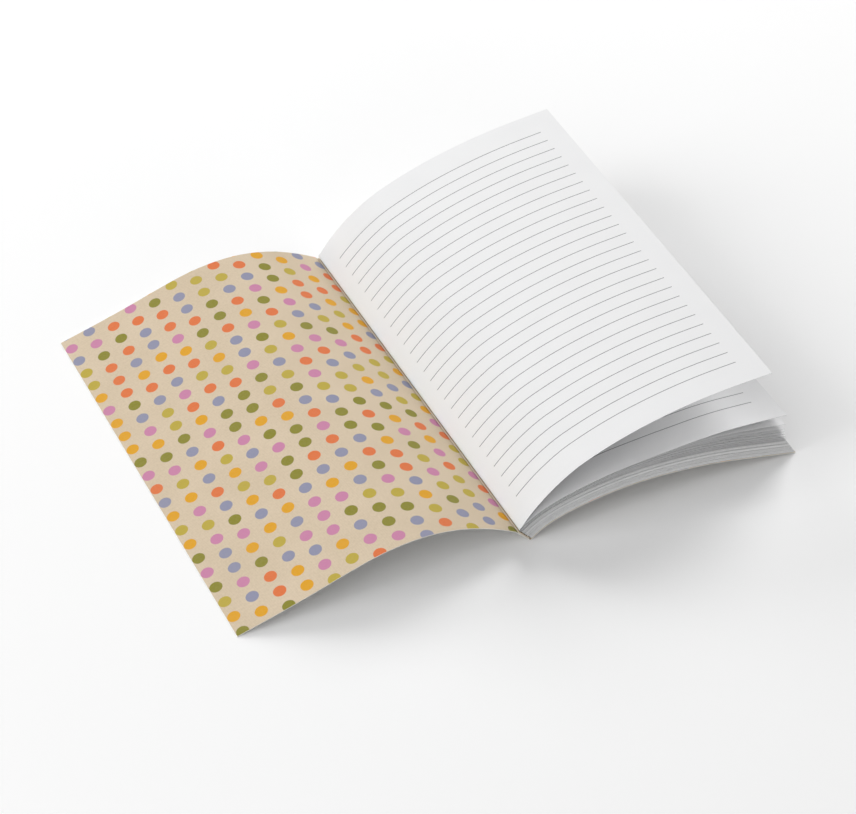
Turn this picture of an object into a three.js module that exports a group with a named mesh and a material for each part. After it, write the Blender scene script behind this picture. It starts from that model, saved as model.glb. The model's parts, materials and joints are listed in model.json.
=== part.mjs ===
// A layflat notebook, lying open on a table.
//
// A wraparound card cover holds a block of five sewn sections. The front cover is turned over
// to the left, the block arches to the right, and the first four leaves stand up from the block.
//
// Millimetres. +X runs from the spine to the fore edge, +Y to the head and +Z up. The origin is
// on the table, in the middle of the open notebook's footprint.
//
// Every sheet is drawn in section, in the XZ plane, and extruded from foot to head. The section
// of the block is laid out along the stack's curve: a distance s from the spine, and a height h
// above the bottom of the block, square to the curve.

import * as THREE from "three";

// Trim size.
const PAGE_WIDTH = 133.35;
const PAGE_HEIGHT = 209.55;

// Paper, card, glue, cloth and thread.
const LEAF_THICKNESS = 0.105;
const COVER_THICKNESS = 0.35;
const ADHESIVE_THICKNESS = 0.35;
const LINING_THICKNESS = 0.2;
const THREAD_DIAMETER = 0.24;

// Sewn sections.
const SECTION_COUNT = 5;
const LEAVES_PER_SECTION = 16;
const SECTION_GAP = 0.12;
const LEAF_GAP = 0.02;
const LINK_STITCH_COUNT = 6;
const STITCH_MARGIN = 22;

// Clearances.
const THREAD_CLEARANCE = 0.03;
const GLUE_LINE = 0.03;
const HOLLOW_GAP = 0.05;
const COVER_CLEARANCE = 0.1;
const CLOSED_CLEARANCE = 0.3;
const SCORE_GAP = 0.5;
const FLEX_GAP = 0.2;
const GLUE_INSET = 1;

// The curve that the bottom of the block follows, from the spine outwards: arcs as
// [share of the page width, turn in degrees]. The last stretch is straight.
const STACK_ARCS = [
  [0.0375, -9.9],
  [0.045, -11.5],
  [0.075, -9.4],
  [0.3, -15.1],
  [0.3075, -10.3],
  [0.0825, -0.7],
];

// The curve of the open front cover, from the spine outwards, in the same form.
const COVER_ARCS = [
  [0.15, -10.5],
  [0.255, -27],
  [0.15, -12],
  [0.12, -2],
  [0.225, 3.3],
];

// How the first section stands up from the pressed block. Air lifts its leaves towards the fore
// edge, the upper ones most, over a run given as a share of the page width. Leaf 1 lifts sooner.
const AIR_RISE = 3.4;
const AIR_RUN = 0.75;
const LEAF_1_AIR_RUN = 0.25;
const AIRY_LEAVES = 12;
const STANDING_LEAVES = 4;
const STANDING_STEP = 0.06;

// How far the standing leaves bend up at their lines, in degrees.
const LEAF_1_LIFT = 17.6;
const LEAF_2_BEND = 4.2;
const LEAF_3_BEND = 3.2;
const LEAF_4_BEND = 1.2;

// Lines where the first leaf is pressed down and turned, by their distance from the spine.
const PRESS_LINE = 1.9;
const GUTTER_LINE = 5;

// Lines where the card and the standing leaves flex, as shares of the page width.
const COVER_FLEX_LINES = [0.17, 0.38, 0.62];
const LEAF_1_FLEX_LINES = [0.25, 0.45, 0.675];
const LEAF_2_FLEX_LINES = [0.42, 0.555];
const LEAF_3_FLEX_LINES = [0.435, 0.57];
const LEAF_4_FLEX_LINES = [0.465];

// How finely the curves are drawn.
const CURVE_STEP = 4;
const REACH_STEP = 1;
const SLOPE_STEP = 0.01;
const FOLD_STEPS = 6;
const THREAD_SIDES = 6;

const radians = THREE.MathUtils.degToRad;
const across = (share) => share * PAGE_WIDTH;

const paper = () => new THREE.MeshStandardMaterial({ color: 0xefefee, roughness: 0.92, metalness: 0 });
const printedCard = () => new THREE.MeshStandardMaterial({ color: 0xdac9a8, roughness: 0.85, metalness: 0 });
const glue = () => new THREE.MeshStandardMaterial({ color: 0xe6e0cf, roughness: 0.45, metalness: 0 });
const cloth = () => new THREE.MeshStandardMaterial({ color: 0xf2f1ec, roughness: 0.97, metalness: 0 });
const thread = () => new THREE.MeshStandardMaterial({ color: 0xf4f3ee, roughness: 0.8, metalness: 0 });

// A curve of arcs that starts at a given slope, seen as offset lines at any height above it.
class ArcCurve {
  constructor(arcs, startSlope = 0, origin = new THREE.Vector2()) {
    this.arcs = arcs.map(([share, turn]) => ({ length: across(share), turn: radians(turn) }));
    this.startSlope = startSlope;
    this.origin = origin;
  }

  // The point on the curve and the slope there, at distance s. Past the arcs the curve is straight.
  walk(s) {
    const point = this.origin.clone();
    let slope = this.startSlope;
    let left = s;
    for (const { length, turn } of this.arcs) {
      const run = Math.min(left, length);
      if (run <= 0) break;
      const bend = (turn * run) / length;
      const chord = (run * Math.sin(bend / 2)) / (bend / 2);
      const direction = slope + bend / 2;
      point.add(new THREE.Vector2(Math.cos(direction), Math.sin(direction)).multiplyScalar(chord));
      slope += bend;
      left -= run;
    }
    if (s < 0 || left > 0) {
      point.add(new THREE.Vector2(Math.cos(slope), Math.sin(slope)).multiplyScalar(left));
    }
    return { point, slope };
  }

  // The point at distance s and height h, with the slope of the curve there.
  at(s, h = 0) {
    const { point, slope } = this.walk(s);
    const normal = new THREE.Vector2(-Math.sin(slope), Math.cos(slope));
    return { point: point.addScaledVector(normal, h), slope };
  }

  // The distance s at which a line has the given length of its own. Its height is a function of s.
  reach(length, height) {
    let s = 0;
    let left = length;
    let here = this.at(0, height(0)).point;
    for (;;) {
      const next = this.at(s + REACH_STEP, height(s + REACH_STEP)).point;
      const run = next.distanceTo(here);
      if (run >= left) return s + (REACH_STEP * left) / run;
      s += REACH_STEP;
      left -= run;
      here = next;
    }
  }
}

// Distances from one line to another: steps of CURVE_STEP, and the lines near the gutter where
// leaves part. Neighbouring sheets share them, so their facets stay parallel.
function stations(from, to) {
  const places = [PRESS_LINE, GUTTER_LINE];
  for (let s = CURVE_STEP; s < to; s += CURVE_STEP) places.push(s);
  const inside = places.filter((s) => s - from > FLEX_GAP && to - s > FLEX_GAP);
  return [from, ...inside.sort((a, b) => a - b), to];
}

// The middle line of a sheet: a place and a slope at each station. Its height is a function of s,
// and it is turned up about each bend line that lies before the station.
function middleLine(curve, height, from, to, bends = []) {
  const placeAt = (s) => curve.at(s, height(s)).point;
  return stations(from, to).map((s) => {
    const point = placeAt(s);
    let slope = placeAt(s + SLOPE_STEP).sub(placeAt(s - SLOPE_STEP)).angle();
    for (const { line, angle } of [...bends].reverse()) {
      if (s <= line) continue;
      point.rotateAround(placeAt(line), angle);
      slope += angle;
    }
    return { point, slope };
  });
}

// The closed outline of a sheet of the given thickness about its middle line.
function sheetOutline(line, thickness) {
  const side = (sign) =>
    line.map(({ point, slope }) =>
      point
        .clone()
        .add(new THREE.Vector2(-Math.sin(slope), Math.cos(slope)).multiplyScalar((sign * thickness) / 2)),
    );
  return [...side(-1), ...side(1).reverse()];
}

// A solid with the given XZ outline, from foot to head.
function extrude(outline) {
  const geometry = new THREE.ExtrudeGeometry(new THREE.Shape(outline), {
    depth: PAGE_HEIGHT,
    bevelEnabled: false,
  });
  return geometry.rotateX(Math.PI / 2).translate(0, PAGE_HEIGHT / 2, 0);
}

// A named piece. A piece that moves keeps the line that it turns about, parallel to Y, as a point
// in the XZ plane of the part's own frame.
function mesh(name, geometry, material, hinge) {
  const piece = new THREE.Mesh(geometry, material);
  piece.name = name;
  if (hinge) piece.userData.hinge = { x: hinge.x - centreX, z: hinge.y };
  return piece;
}

// Heights in the stack, from the bottom of the last section to the top leaf.
const sectionThickness = LEAVES_PER_SECTION * LEAF_THICKNESS;
const lowerSections = SECTION_COUNT - 1;
const firstSectionBottom = lowerSections * (sectionThickness + SECTION_GAP);
const sheetsPerSection = LEAVES_PER_SECTION / 2;
const leafPitch = LEAF_THICKNESS + LEAF_GAP;
const threadHalfGap = THREAD_DIAMETER / 2 + THREAD_CLEARANCE;
const outerFoldRadius = threadHalfGap + (sheetsPerSection - 1) * leafPitch + LEAF_THICKNESS;
const firstSectionMiddle = firstSectionBottom + outerFoldRadius;
const blockThickness = firstSectionBottom + 2 * outerFoldRadius;

// The spine, from the folds outwards: stitches in the adhesive, lining, hollow, card.
const adhesiveInner = GLUE_LINE;
const adhesiveOuter = adhesiveInner + ADHESIVE_THICKNESS;
const liningInner = adhesiveOuter + GLUE_LINE;
const liningOuter = liningInner + LINING_THICKNESS;
const spineCardMiddle = liningOuter + HOLLOW_GAP + COVER_THICKNESS / 2;
const backCoverMiddle = -(COVER_CLEARANCE + COVER_THICKNESS / 2);
const frontScoreHeight = blockThickness + CLOSED_CLEARANCE + COVER_THICKNESS / 2;

// The stack is tilted so that the back cover rests on the table at the spine and the fore edge.
function restingStackCurve() {
  const level = new ArcCurve(STACK_ARCS);
  const underside = backCoverMiddle - COVER_THICKNESS / 2;
  const inner = level.at(-spineCardMiddle + SCORE_GAP / 2, underside).point;
  const outer = level.at(level.reach(PAGE_WIDTH, () => backCoverMiddle), underside).point;
  const tilt = -Math.atan2(outer.y - inner.y, outer.x - inner.x);
  const turned = inner.clone().rotateAround(new THREE.Vector2(), tilt);
  return new ArcCurve(STACK_ARCS, tilt, new THREE.Vector2(0, -turned.y));
}

// The front cover's curve starts at the front score and ends with its outer edge on the table.
// It is drawn to the right and mirrored, so that its inside is the upper face.
function restingCoverCurve(score) {
  const level = new ArcCurve(COVER_ARCS);
  const edge = level.at(PAGE_WIDTH, -COVER_THICKNESS / 2).point;
  const rise = Math.asin(-score.y / edge.length()) - Math.atan2(edge.y, edge.x);
  return new ArcCurve(COVER_ARCS, rise);
}

const stack = restingStackCurve();
const frontScore = stack.at(-spineCardMiddle, frontScoreHeight).point;
const backScore = stack.at(-spineCardMiddle, backCoverMiddle).point;
const coverCurve = restingCoverCurve(frontScore);

// The stack is drawn with its folds at x = 0. The finished notebook moves by centreX, so that the
// origin is in the middle between the two outer edges.
const foreEdgeX = stack.at(stack.reach(PAGE_WIDTH, () => backCoverMiddle), backCoverMiddle).point.x;
const coverEdgeX = frontScore.x - coverCurve.at(PAGE_WIDTH).point.x;
const centreX = (foreEdgeX + coverEdgeX) / 2;

// The front cover, as strips that bend against each other where the card flexes.
function frontCover() {
  const mirrored = ({ x, y }) => new THREE.Vector2(frontScore.x - x, frontScore.y + y);
  const flexLines = COVER_FLEX_LINES.map(across);
  const hinges = [0, ...flexLines];
  const ends = [...flexLines, PAGE_WIDTH + FLEX_GAP / 2];
  return hinges.map((hinge, i) => {
    const from = hinge + (i === 0 ? SCORE_GAP : FLEX_GAP) / 2;
    const line = middleLine(coverCurve, () => 0, from, ends[i] - FLEX_GAP / 2);
    const outline = sheetOutline(line, COVER_THICKNESS).map(mirrored);
    const hingePoint = mirrored(coverCurve.at(hinge).point);
    return mesh(`front_cover_${i + 1}`, extrude(outline), printedCard(), hingePoint);
  });
}

function backCover() {
  const height = () => backCoverMiddle;
  const from = -spineCardMiddle + SCORE_GAP / 2;
  const line = middleLine(stack, height, from, stack.reach(PAGE_WIDTH, height));
  return mesh("back_cover", extrude(sheetOutline(line, COVER_THICKNESS)), printedCard(), backScore);
}

// A flat layer along the spine, between two distances outside the folds and two heights.
function spineLayer(name, inner, outer, low, high, material) {
  const corners = [
    [-outer, low],
    [-inner, low],
    [-inner, high],
    [-outer, high],
  ];
  return mesh(name, extrude(corners.map(([s, h]) => stack.at(s, h).point)), material);
}

function coverSpine() {
  return spineLayer(
    "cover_spine",
    spineCardMiddle - COVER_THICKNESS / 2,
    spineCardMiddle + COVER_THICKNESS / 2,
    backCoverMiddle + SCORE_GAP / 2,
    frontScoreHeight - SCORE_GAP / 2,
    printedCard(),
  );
}

function spineLining() {
  const top = blockThickness - GLUE_INSET;
  return spineLayer("spine_lining", liningInner, liningOuter, GLUE_INSET, top, cloth());
}

// The places along the spine of the link stitches.
function stitchPlaces() {
  const first = -PAGE_HEIGHT / 2 + STITCH_MARGIN;
  const step = (PAGE_HEIGHT - 2 * STITCH_MARGIN) / (LINK_STITCH_COUNT - 1);
  return Array.from({ length: LINK_STITCH_COUNT }, (_, i) => first + i * step);
}

// Turns a piece drawn upright at the spine, height along +Z, to stand square to the stack's root.
function standAtSpine(geometry, h) {
  const { point } = stack.at(0, h);
  return geometry.rotateY(-stack.startSlope).translate(point.x, 0, point.y);
}

// The glue film between the folds and the lining, notched where the link stitches lie.
function spineAdhesive() {
  const notch = THREAD_DIAMETER / 2 + THREAD_CLEARANCE;
  const depth = adhesiveInner + THREAD_DIAMETER + 2 * THREAD_CLEARANCE;
  const outline = [
    new THREE.Vector2(-adhesiveOuter, -PAGE_HEIGHT / 2),
    new THREE.Vector2(-adhesiveInner, -PAGE_HEIGHT / 2),
  ];
  for (const y of stitchPlaces()) {
    outline.push(new THREE.Vector2(-adhesiveInner, y - notch));
    outline.push(new THREE.Vector2(-depth, y - notch));
    outline.push(new THREE.Vector2(-depth, y + notch));
    outline.push(new THREE.Vector2(-adhesiveInner, y + notch));
  }
  outline.push(new THREE.Vector2(-adhesiveInner, PAGE_HEIGHT / 2));
  outline.push(new THREE.Vector2(-adhesiveOuter, PAGE_HEIGHT / 2));
  const film = new THREE.ExtrudeGeometry(new THREE.Shape(outline), {
    depth: blockThickness - 2 * GLUE_INSET,
    bevelEnabled: false,
  });
  return mesh("spine_adhesive", standAtSpine(film, GLUE_INSET), glue());
}

// The link stitches, each across the folds from the last section to the first.
function linkStitches() {
  const low = sectionThickness / 2;
  const length = firstSectionMiddle - low;
  const radius = THREAD_DIAMETER / 2;
  const out = GLUE_LINE + THREAD_CLEARANCE + radius;
  return stitchPlaces().map((y, i) => {
    const stitch = new THREE.CylinderGeometry(radius, radius, length, THREAD_SIDES);
    stitch.rotateX(Math.PI / 2).translate(-out, y, length / 2);
    return mesh(`link_stitch_${i + 1}`, standAtSpine(stitch, low), thread());
  });
}

// The sewing thread in the middle fold of the first section.
function centreThread() {
  const length = PAGE_HEIGHT - 2 * STITCH_MARGIN;
  const { point } = stack.at(outerFoldRadius, firstSectionMiddle);
  const run = new THREE.CylinderGeometry(THREAD_DIAMETER / 2, THREAD_DIAMETER / 2, length, THREAD_SIDES);
  return mesh("centre_thread", run.translate(point.x, 0, point.y), thread());
}

// The half circle of a fold at the spine, from the lower leaf round to the upper one: places and
// slopes between the two leaves, about a point at distance s and height h.
function foldArc(radius, s, h) {
  const centre = stack.at(s, h).point;
  return Array.from({ length: FOLD_STEPS - 1 }, (_, i) => {
    const slope = stack.startSlope + Math.PI * (1 - (i + 1) / FOLD_STEPS);
    const normal = new THREE.Vector2(-Math.sin(slope), Math.cos(slope));
    return { point: normal.multiplyScalar(radius).add(centre), slope };
  });
}

// A section below the first, pressed flat: its leaves as one solid with a rounded fold.
function lowerSection(number) {
  const bottom = (SECTION_COUNT - number) * (sectionThickness + SECTION_GAP);
  const top = bottom + sectionThickness;
  const radius = sectionThickness / 2;
  const side = (h) => stations(radius, stack.reach(PAGE_WIDTH, () => h)).map((s) => stack.at(s, h).point);
  const fold = foldArc(radius, radius, bottom + radius).map(({ point }) => point);
  const outline = [...fold, ...side(top), ...side(bottom).reverse()];
  return mesh(`section_${number}`, extrude(outline), paper());
}

// The height of a leaf of the first section at its root, leaf 1 on top.
function rootHeight(leaf) {
  const fromMiddle = threadHalfGap + LEAF_THICKNESS / 2;
  if (leaf <= sheetsPerSection) {
    return firstSectionMiddle + fromMiddle + (sheetsPerSection - leaf) * leafPitch;
  }
  return firstSectionMiddle - fromMiddle - (leaf - sheetsPerSection - 1) * leafPitch;
}

// How far air lifts a leaf of the first section off the pressed block. The leaves under the
// standing ones cling together in pairs.
function airUnder(leaf) {
  if (leaf > STANDING_LEAVES) {
    const upper = leaf - ((leaf + 1) % 2);
    const share = (LEAVES_PER_SECTION - upper) / (AIRY_LEAVES - 1);
    return AIR_RISE * share * share;
  }
  return AIR_RISE + (STANDING_LEAVES + 1 - leaf) * STANDING_STEP;
}

// The height of a leaf of the first section, as a function of the distance from the spine.
function leafHeight(leaf) {
  const rise = airUnder(leaf);
  const end = outerFoldRadius + across(leaf === 1 ? LEAF_1_AIR_RUN : AIR_RUN);
  return (s) => rootHeight(leaf) + rise * THREE.MathUtils.smoothstep(s, outerFoldRadius, end);
}

// The bends of the standing leaves, counted from the spine outwards.
const leafBends = {
  1: [{ line: PRESS_LINE, angle: radians(LEAF_1_LIFT) }],
  2: LEAF_2_FLEX_LINES.map((share) => ({ line: across(share), angle: radians(LEAF_2_BEND) })),
  3: [{ line: across(LEAF_3_FLEX_LINES[0]), angle: radians(LEAF_3_BEND) }],
  4: [{ line: across(LEAF_4_FLEX_LINES[0]), angle: radians(LEAF_4_BEND) }],
};

function leafLine(leaf, from, to) {
  return middleLine(stack, leafHeight(leaf), from, to, leafBends[leaf] ?? []);
}

// Where the part of a standing leaf that stays on its sheet ends.
const attachedEnds = {
  1: PRESS_LINE,
  2: GUTTER_LINE,
  3: across(LEAF_3_FLEX_LINES[0]),
  4: across(LEAF_4_FLEX_LINES[0]),
};

// One folded sheet of the first section. Its lower leaf is whole. Its upper leaf is whole too,
// or ends at the line where the standing part begins.
function foldedSheet(number) {
  const upper = number;
  const lower = LEAVES_PER_SECTION + 1 - number;
  const upperEnd =
    upper in attachedEnds
      ? attachedEnds[upper] - FLEX_GAP / 2
      : stack.reach(PAGE_WIDTH, leafHeight(upper));
  const lowerEnd = stack.reach(PAGE_WIDTH, leafHeight(lower));
  const upperLine = leafLine(upper, outerFoldRadius, upperEnd);
  const lowerLine = leafLine(lower, outerFoldRadius, lowerEnd).map(({ point, slope }) => ({
    point,
    slope: slope + Math.PI,
  }));
  const radius = rootHeight(upper) - firstSectionMiddle;
  const fold = foldArc(radius, outerFoldRadius, firstSectionMiddle);
  const line = [...lowerLine.reverse(), ...fold, ...upperLine];
  return mesh(`sheet_${number}`, extrude(sheetOutline(line, LEAF_THICKNESS)), paper());
}

// The parts of a leaf that move against each other, between the given lines.
function leafParts(leaf, names, lines) {
  const edges = [...lines, stack.reach(PAGE_WIDTH, leafHeight(leaf)) + FLEX_GAP / 2];
  return names.map((name, i) => {
    const line = leafLine(leaf, edges[i] + FLEX_GAP / 2, edges[i + 1] - FLEX_GAP / 2);
    const hinge = leafLine(leaf, edges[i], edges[i + 1])[0].point;
    return mesh(`leaf_${leaf}_${name}`, extrude(sheetOutline(line, LEAF_THICKNESS)), paper(), hinge);
  });
}

function standingLeaves() {
  return [
    ...leafParts(
      1,
      ["gutter", "a", "b", "c", "d"],
      [PRESS_LINE, GUTTER_LINE, ...LEAF_1_FLEX_LINES.map(across)],
    ),
    ...leafParts(2, ["inner", "middle", "outer"], [GUTTER_LINE, ...LEAF_2_FLEX_LINES.map(across)]),
    ...leafParts(3, ["middle", "outer"], LEAF_3_FLEX_LINES.map(across)),
    ...leafParts(4, ["outer"], LEAF_4_FLEX_LINES.map(across)),
  ];
}

const sections = Array.from({ length: lowerSections }, (_, i) => lowerSection(i + 2));
const sheets = Array.from({ length: sheetsPerSection }, (_, i) => foldedSheet(i + 1));

const notebook = new THREE.Group();
notebook.name = "layflat_notebook";
notebook.add(
  ...frontCover(),
  coverSpine(),
  backCover(),
  spineLining(),
  spineAdhesive(),
  ...linkStitches(),
  centreThread(),
  ...sections,
  ...sheets,
  ...standingLeaves(),
);
notebook.position.x = -centreX;

export default notebook;
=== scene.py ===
"""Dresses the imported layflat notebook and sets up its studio.

The notebook lies open on a table: the card cover is turned over to the left, the block of sewn
sections arches to the right, and the first leaves stand up from it. Every sheet is drawn in
section, in the XZ plane, and runs from foot to head along Y. Lengths are millimetres, except where
a name ends in _m, and each mesh is turned into metres as it is made.
"""

import json
import logging
import math
from dataclasses import dataclass
from enum import Enum
from typing import Callable, Sequence

import bpy
import numpy as np
from bpy.types import Material, Node, NodeSocket, NodeTree, Object
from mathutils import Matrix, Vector

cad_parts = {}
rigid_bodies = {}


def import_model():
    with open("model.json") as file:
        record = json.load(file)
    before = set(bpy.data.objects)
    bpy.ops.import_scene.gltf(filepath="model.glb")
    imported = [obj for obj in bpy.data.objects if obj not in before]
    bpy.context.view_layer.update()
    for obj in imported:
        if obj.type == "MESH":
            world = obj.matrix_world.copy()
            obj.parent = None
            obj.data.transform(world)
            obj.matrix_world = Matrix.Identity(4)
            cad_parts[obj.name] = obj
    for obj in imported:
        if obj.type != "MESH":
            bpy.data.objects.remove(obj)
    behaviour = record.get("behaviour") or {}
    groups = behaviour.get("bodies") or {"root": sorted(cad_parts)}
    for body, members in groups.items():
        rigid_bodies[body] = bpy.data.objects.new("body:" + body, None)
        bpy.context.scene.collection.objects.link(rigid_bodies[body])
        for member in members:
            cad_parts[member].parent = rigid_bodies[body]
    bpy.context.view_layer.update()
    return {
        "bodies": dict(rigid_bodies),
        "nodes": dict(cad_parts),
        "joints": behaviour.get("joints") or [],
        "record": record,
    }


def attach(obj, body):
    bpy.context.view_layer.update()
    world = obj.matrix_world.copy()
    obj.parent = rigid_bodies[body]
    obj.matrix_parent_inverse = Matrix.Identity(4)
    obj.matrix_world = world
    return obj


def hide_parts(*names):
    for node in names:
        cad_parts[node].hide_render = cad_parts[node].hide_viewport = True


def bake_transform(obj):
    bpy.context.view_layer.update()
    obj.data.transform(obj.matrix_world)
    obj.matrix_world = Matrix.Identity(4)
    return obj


LOG = logging.getLogger("notebook")
MM = 0.001
# The map of a sheet's own places, and the attribute of each lower leaf's random value, which
# darkens some leaf edges: partly a random tone, partly painted shade between leaves.
PAGE_MAP = "page"
LEAF_TONE_AND_PAINTED_SHADE = "leaf_tone_and_painted_shade"
# The angle in degrees from which an edge is crisp.
SHARP_ANGLE = 40
# The distance in metres within which points are one.
WELD_M = 1e-7
# The bend in radians under which an arc counts as straight.
STRAIGHT = 1e-12
# The least distance between two points of a line, where it is cut.
CLOSEST = 0.02

Lift = Callable[[np.ndarray, np.ndarray], np.ndarray]


# Sizes.


@dataclass(frozen=True)
class Trim:
    """The trimmed page, in millimetres."""

    width: float = 133.35
    height: float = 209.55


@dataclass(frozen=True)
class Stock:
    """Thicknesses, counts and clearances of the notebook, in millimetres."""

    leaf: float = 0.105
    card: float = 0.35
    adhesive: float = 0.35
    lining: float = 0.2
    thread: float = 0.24
    sections: int = 5
    leaves: int = 16
    section_gap: float = 0.12
    leaf_gap: float = 0.02
    thread_clearance: float = 0.03
    glue_line: float = 0.03
    hollow: float = 0.05
    cover_clearance: float = 0.1
    closed_clearance: float = 0.3
    score_gap: float = 0.5
    stitch_margin: float = 22.0
    stitches: int = 6

    @property
    def section(self) -> float:
        """Thickness of one pressed section."""
        return self.leaves * self.leaf

    @property
    def pitch(self) -> float:
        """Distance between neighbouring leaves of the first section."""
        return self.leaf + self.leaf_gap

    @property
    def half_thread(self) -> float:
        """Half the room that the sewing thread keeps open in the middle fold."""
        return self.thread / 2 + self.thread_clearance

    @property
    def fold(self) -> float:
        """Outer radius of the first section's fold."""
        return self.half_thread + (self.leaves / 2 - 1) * self.pitch + self.leaf

    @property
    def first_bottom(self) -> float:
        """Height of the first section's bottom in the stack."""
        return (self.sections - 1) * (self.section + self.section_gap)

    @property
    def first_middle(self) -> float:
        """Height of the first section's middle in the stack."""
        return self.first_bottom + self.fold

    @property
    def block(self) -> float:
        """Thickness of the whole block at the folds."""
        return self.first_bottom + 2 * self.fold

    @property
    def spine_card(self) -> float:
        """How far the middle of the spine card stands outside the folds."""
        layers = 2 * self.glue_line + self.adhesive + self.lining
        return layers + self.hollow + self.card / 2

    @property
    def back_card(self) -> float:
        """Height of the middle of the back cover in the stack."""
        return -(self.cover_clearance + self.card / 2)

    @property
    def front_score(self) -> float:
        """Height of the front score in the stack."""
        return self.block + self.closed_clearance + self.card / 2


TRIM = Trim()
STOCK = Stock()

# The arcs of the stack and of the open cover, each a share of the page width and a turn in degrees.
STACK_ARCS = [
    (0.0375, -9.9),
    (0.045, -11.5),
    (0.075, -9.4),
    (0.3, -15.1),
    (0.3075, -10.3),
    (0.0825, -0.7),
]
COVER_ARCS = [(0.15, -10.5), (0.255, -27.0), (0.15, -12.0), (0.12, -2.0), (0.225, 3.3)]


@dataclass(frozen=True)
class Opening:
    """How the first section stands open: air, bends and the lines where leaves leave the block."""

    air_rise: float = 3.4
    air_run: float = 0.75
    first_air_run: float = 0.25
    airy_leaves: int = 12
    standing_leaves: int = 4
    standing_step: float = 0.06
    press_line: float = 1.9
    gutter_line: float = 5.0


OPENING = Opening()


@dataclass(frozen=True)
class Bend:
    """A soft bend of a leaf: where it lies, how far it turns and over what width."""

    line: float
    angle: float
    width: float


BENDS = {
    1: (Bend(OPENING.press_line, 17.6, 1.4),),
    2: (Bend(0.42 * TRIM.width, 4.2, 18.0), Bend(0.555 * TRIM.width, 4.2, 18.0)),
    3: (Bend(0.435 * TRIM.width, 3.2, 18.0),),
    4: (Bend(0.465 * TRIM.width, 1.2, 18.0),),
}


# Curves in section.


class ArcCurve:
    """A curve of arcs in the XZ plane that starts at a given slope."""

    def __init__(
        self,
        arcs: Sequence[tuple[float, float]],
        slope: float = 0.0,
        origin: Sequence[float] = (0.0, 0.0),
    ) -> None:
        """Lays the arcs end to end.

        Args:
            arcs: Pairs of a share of the page width and a turn in degrees.
            slope: The slope at the start, in radians.
            origin: The start point.
        """
        lengths = np.array([share * TRIM.width for share, _ in arcs])
        turns = np.radians([turn for _, turn in arcs])
        self.starts = np.concatenate([[0.0], np.cumsum(lengths)])
        self.slopes = slope + np.concatenate([[0.0], np.cumsum(turns)])
        self.curvatures = np.concatenate([[0.0], turns / lengths, [0.0]])
        points = [np.array(origin, float)]
        for length, turn, start in zip(lengths, turns, self.slopes):
            chord = length * math.sin(turn / 2) / (turn / 2)
            middle = start + turn / 2
            points.append(points[-1] + chord * np.array([math.cos(middle), math.sin(middle)]))
        self.points = np.array(points)

    def at(self, s: np.ndarray | float, h: np.ndarray | float = 0.0) -> np.ndarray:
        """The points at distances s and heights h.

        Args:
            s: Distances along the curve.
            h: Heights square to the curve.

        Returns:
            The points, as an array of rows (x, z).
        """
        s, h = np.broadcast_arrays(np.atleast_1d(np.asarray(s, float)), np.asarray(h, float))
        knot = np.clip(np.searchsorted(self.starts, s, side="right") - 1, 0, len(self.starts) - 1)
        run = s - self.starts[knot]
        curvature = np.where(s < 0, 0.0, self.curvatures[knot + 1])
        bend = run * curvature
        half = np.where(np.abs(bend) < STRAIGHT, STRAIGHT, bend) / 2
        chord = run * np.sin(half) / half
        direction = self.slopes[knot] + bend / 2
        slope = self.slopes[knot] + bend
        x = self.points[knot, 0] + chord * np.cos(direction) - h * np.sin(slope)
        z = self.points[knot, 1] + chord * np.sin(direction) + h * np.cos(slope)
        return np.stack([x, z], axis=-1)


def smooth(t: np.ndarray) -> np.ndarray:
    """A smooth step from 0 to 1 as t goes from 0 to 1."""
    t = np.clip(t, 0.0, 1.0)
    return t * t * (3 - 2 * t)


def unit_normals(points: np.ndarray) -> np.ndarray:
    """The normals of a polyline, to the left of its direction.

    Args:
        points: The points of the polyline, as rows.

    Returns:
        A unit vector for each point.
    """
    d = np.gradient(points, axis=0)
    d /= np.linalg.norm(d, axis=1)[:, None]
    return np.stack([-d[:, 1], d[:, 0]], axis=-1)


def own_length(points: np.ndarray) -> np.ndarray:
    """The running length of a polyline at each of its points."""
    return np.concatenate([[0.0], np.cumsum(np.linalg.norm(np.diff(points, axis=0), axis=1))])


def even_steps(start: float, end: float, step: float) -> np.ndarray:
    """Places at even steps from a start, with the end as the last one."""
    return np.concatenate([np.arange(start, end - step / 2, step), [end]])


@dataclass
class SheetLine:
    """The middle line of a sheet in section.

    Each point has its station, the distance along the curve that the sheet follows, and its own
    distance across the paper.
    """

    points: np.ndarray
    stations: np.ndarray
    paper: np.ndarray

    def cut(self, start: float, end: float) -> "SheetLine":
        """The stretch of the line between two stations, with a point of its own at each end.

        Args:
            start: The first station.
            end: The last station.

        Returns:
            The stretch.
        """
        known = self.stations
        inside = known[(known > start + CLOSEST) & (known < end - CLOSEST)]
        stations = np.concatenate([[start], inside, [end]])
        points = [np.interp(stations, known, self.points[:, k]) for k in (0, 1)]
        paper = np.interp(stations, known, self.paper)
        return SheetLine(np.stack(points, axis=-1), stations, paper)

    def at(self, station: float) -> np.ndarray:
        """The point of the line at a station."""
        return np.array([np.interp(station, self.stations, self.points[:, k]) for k in (0, 1)])

    def backwards(self) -> "SheetLine":
        """The same line, run the other way."""
        return SheetLine(self.points[::-1], self.stations[::-1], self.paper[::-1])


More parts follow.
